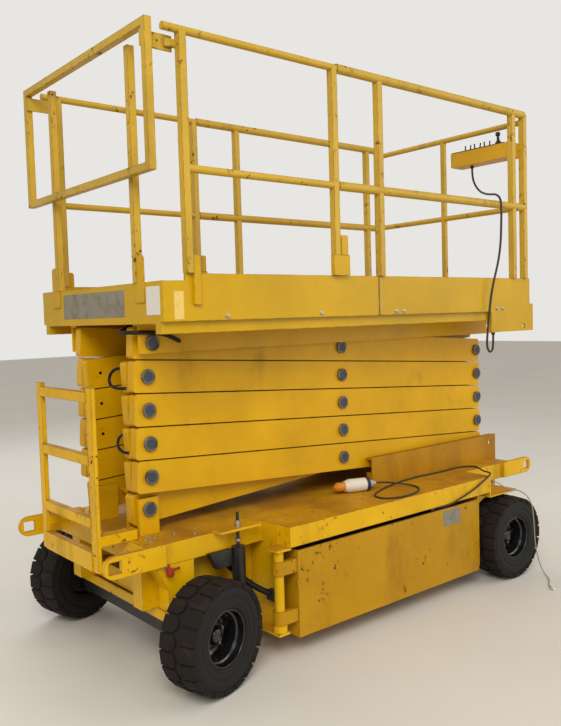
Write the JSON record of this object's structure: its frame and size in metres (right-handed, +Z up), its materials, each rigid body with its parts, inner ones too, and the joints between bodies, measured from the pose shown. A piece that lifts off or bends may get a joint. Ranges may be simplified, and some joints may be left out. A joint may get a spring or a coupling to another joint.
{
  "type": "scissor lift",
  "caption": "Self-propelled work platform on a folded scissor stack, with guard rails, sliding deck, ladder and swing-out side trays.",
  "frame": {"origin": "on the ground under the middle of the folded scissor pack", "axes": "+X from the ladder end towards the sliding end of the platform, +Z up, near side -Y"},
  "size_m": [2.8999, 1.6451, 2.635],
  "materials": {
    "chassis_paint": "worn chrome yellow with dirt",
    "door_paint": "worn chrome yellow",
    "arm_paint": "worn chrome yellow",
    "floor_paint": "worn chrome yellow",
    "rail_paint": "worn chrome yellow with rust",
    "pin_steel": "dull",
    "axle_black": "satin",
    "rim_black": "gloss",
    "tyre_rubber": "dusty",
    "hydraulic_black": "satin",
    "rod_chrome": "bright",
    "battery_case": "matte",
    "power_case": "satin",
    "box_grey": "satin",
    "black_plastic": "matte",
    "lead_rubber": "matte",
    "hose_rubber": "matte",
    "cable_black": "matte",
    "connector_white": "satin",
    "plug_orange": "satin"
  },
  "bodies": {
    "chassis": {"chassis_frame": "chassis_paint", "chassis_spines": "chassis_paint", "tow_plates": "chassis_paint", "front_guard": "chassis_paint", "ladder": "chassis_paint", "chassis_slides": "chassis_paint", "base_brackets": "chassis_paint", "base_pins": "pin_steel", "steer_axle": "axle_black", "drive_axle": "axle_black", "axle_locks": "hydraulic_black", "tray_posts": "chassis_paint", "lead_glands": "black_plastic", "charger_lead": "lead_rubber", "charger_connector": "connector_white", "thin_lead": "lead_rubber", "thin_plug": "plug_orange", "hose_bundle": "hose_rubber"},
    "knuckle_near": {"knuckle_near": "axle_black"},
    "knuckle_far": {"knuckle_far": "axle_black"},
    "near_tray": {"near_tray": "door_paint", "battery_block": "battery_case"},
    "far_tray": {"far_tray": "door_paint", "power_block": "power_case"},
    "wheel_front_near": {"tyre_front_near": "tyre_rubber", "rim_front_near": "rim_black"},
    "wheel_front_far": {"tyre_front_far": "tyre_rubber", "rim_front_far": "rim_black"},
    "wheel_rear_near": {"tyre_rear_near": "tyre_rubber", "rim_rear_near": "rim_black"},
    "wheel_rear_far": {"tyre_rear_far": "tyre_rubber", "rim_rear_far": "rim_black"},
    "inner_1": {"inner_arm_1": "arm_paint"},
    "outer_1": {"outer_arm_1": "arm_paint", "pins_1": "pin_steel"},
    "inner_2": {"inner_arm_2": "arm_paint"},
    "outer_2": {"outer_arm_2": "arm_paint", "pins_2": "pin_steel"},
    "inner_3": {"inner_arm_3": "arm_paint"},
    "outer_3": {"outer_arm_3": "arm_paint", "pins_3": "pin_steel"},
    "inner_4": {"inner_arm_4": "arm_paint"},
    "outer_4": {"outer_arm_4": "arm_paint", "pins_4": "pin_steel"},
    "inner_5": {"inner_arm_5": "arm_paint", "top_rollers": "pin_steel"},
    "outer_5": {"outer_arm_5": "arm_paint", "pins_5": "pin_steel"},
    "barrel": {"lift_barrel": "hydraulic_black"},
    "rod": {"lift_rod": "rod_chrome"},
    "platform": {"platform_deck": "floor_paint", "platform_underframe": "arm_paint", "platform_pins": "pin_steel", "platform_rails": "rail_paint"},
    "extension": {"extension_deck": "floor_paint", "extension_rails": "rail_paint", "control_box": "box_grey", "control_cable": "cable_black", "control_glands": "black_plastic"},
    "gate": {"gate": "rail_paint"}
  },
  "joints": [
    {"name": "lift", "type": "hinge", "parent": "chassis", "child": "inner_1", "pos_m": [-1.1325, 0, 0.699], "axis": [0, -1, 0], "range_deg": [0, 47]},
    {"name": "fold_outer_1", "type": "hinge", "parent": "inner_1", "child": "outer_1", "pos_m": [0, 0, 0.7701], "axis": [0, -1, 0], "range_deg": [-94.1, 0]},
    {"name": "fold_outer_2", "type": "hinge", "parent": "inner_1", "child": "outer_2", "pos_m": [1.1325, 0, 0.8412], "axis": [0, -1, 0], "range_deg": [-94.1, 0]},
    {"name": "fold_inner_2", "type": "hinge", "parent": "outer_2", "child": "inner_2", "pos_m": [0, 0, 0.9123], "axis": [0, -1, 0], "range_deg": [0, 94.1]},
    {"name": "fold_outer_3", "type": "hinge", "parent": "inner_2", "child": "outer_3", "pos_m": [1.1325, 0, 0.9834], "axis": [0, -1, 0], "range_deg": [-94.1, 0]},
    {"name": "fold_inner_3", "type": "hinge", "parent": "outer_3", "child": "inner_3", "pos_m": [0, 0, 1.0545], "axis": [0, -1, 0], "range_deg": [0, 94.1]},
    {"name": "fold_outer_4", "type": "hinge", "parent": "inner_3", "child": "outer_4", "pos_m": [1.1325, 0, 1.1256], "axis": [0, -1, 0], "range_deg": [-94.1, 0]},
    {"name": "fold_inner_4", "type": "hinge", "parent": "outer_4", "child": "inner_4", "pos_m": [0, 0, 1.1967], "axis": [0, -1, 0], "range_deg": [0, 94.1]},
    {"name": "fold_outer_5", "type": "hinge", "parent": "inner_4", "child": "outer_5", "pos_m": [1.1325, 0, 1.2678], "axis": [0, -1, 0], "range_deg": [-94.1, 0]},
    {"name": "fold_inner_5", "type": "hinge", "parent": "outer_5", "child": "inner_5", "pos_m": [0, 0, 1.3389], "axis": [0, -1, 0], "range_deg": [0, 94.1]},
    {"name": "fold_platform", "type": "hinge", "parent": "outer_5", "child": "platform", "pos_m": [-1.1325, 0, 1.41], "axis": [0, -1, 0], "range_deg": [0, 47.1]},
    {"name": "barrel_swing", "type": "hinge", "parent": "inner_1", "child": "barrel", "pos_m": [-1.0327, 0, 0.70527], "axis": [0, -1, 0], "range_deg": [0, 15.2]},
    {"name": "rod_slide", "type": "slide", "parent": "barrel", "child": "rod", "axis": [0.9901, 0, 0.1406], "range_m": [0, 1.534]},
    {"name": "platform_slide", "type": "slide", "parent": "platform", "child": "extension", "axis": [1, 0, 0], "range_m": [0, 0.9]},
    {"name": "gate_swing", "type": "hinge", "parent": "platform", "child": "gate", "pos_m": [-1.15, 0, 2.56], "axis": [0, 1, 0], "range_deg": [0, 90]},
    {"name": "steer_near", "type": "hinge", "parent": "chassis", "child": "knuckle_near", "pos_m": [-1.08, -0.49, 0.228], "axis": [0, 0, 1], "range_deg": [-45, 15]},
    {"name": "steer_far", "type": "hinge", "parent": "chassis", "child": "knuckle_far", "pos_m": [-1.08, 0.49, 0.228], "axis": [0, 0, 1], "range_deg": [-45, 15]},
    {"name": "wheel_front_near", "type": "hinge", "parent": "knuckle_near", "child": "wheel_front_near", "pos_m": [-1.05541, -0.58176, 0.228], "axis": [-0.2588, 0.9659, 0], "continuous": true},
    {"name": "wheel_rear_near", "type": "hinge", "parent": "chassis", "child": "wheel_rear_near", "pos_m": [0.95, -0.585, 0.228], "axis": [0, 1, 0], "continuous": true},
    {"name": "wheel_front_far", "type": "hinge", "parent": "knuckle_far", "child": "wheel_front_far", "pos_m": [-1.10459, 0.58176, 0.228], "axis": [-0.2588, 0.9659, 0], "continuous": true},
    {"name": "wheel_rear_far", "type": "hinge", "parent": "chassis", "child": "wheel_rear_far", "pos_m": [0.95, 0.585, 0.228], "axis": [0, 1, 0], "continuous": true},
    {"name": "tray_near", "type": "hinge", "parent": "chassis", "child": "near_tray", "pos_m": [-0.69, -0.565, 0.3], "axis": [0, 0, -1], "range_deg": [0, 90]},
    {"name": "tray_far", "type": "hinge", "parent": "chassis", "child": "far_tray", "pos_m": [-0.69, 0.565, 0.3], "axis": [0, 0, 1], "range_deg": [0, 90]}
  ],
  "couplings": [
    {"joint": "fold_outer_1", "follows": "lift", "ratio": -2},
    {"joint": "fold_outer_2", "follows": "lift", "ratio": -2},
    {"joint": "fold_inner_2", "follows": "lift", "ratio": 2},
    {"joint": "fold_outer_3", "follows": "lift", "ratio": -2},
    {"joint": "fold_inner_3", "follows": "lift", "ratio": 2},
    {"joint": "fold_outer_4", "follows": "lift", "ratio": -2},
    {"joint": "fold_inner_4", "follows": "lift", "ratio": 2},
    {"joint": "fold_outer_5", "follows": "lift", "ratio": -2},
    {"joint": "fold_inner_5", "follows": "lift", "ratio": 2},
    {"joint": "fold_platform", "follows": "lift", "ratio": 1},
    {"joint": "barrel_swing", "follows": "lift", "ratio": 0.31811},
    {"joint": "rod_slide", "follows": "lift", "m_per_rad": 1.8664},
    {"joint": "steer_far", "follows": "steer_near", "ratio": 1}
  ]
}
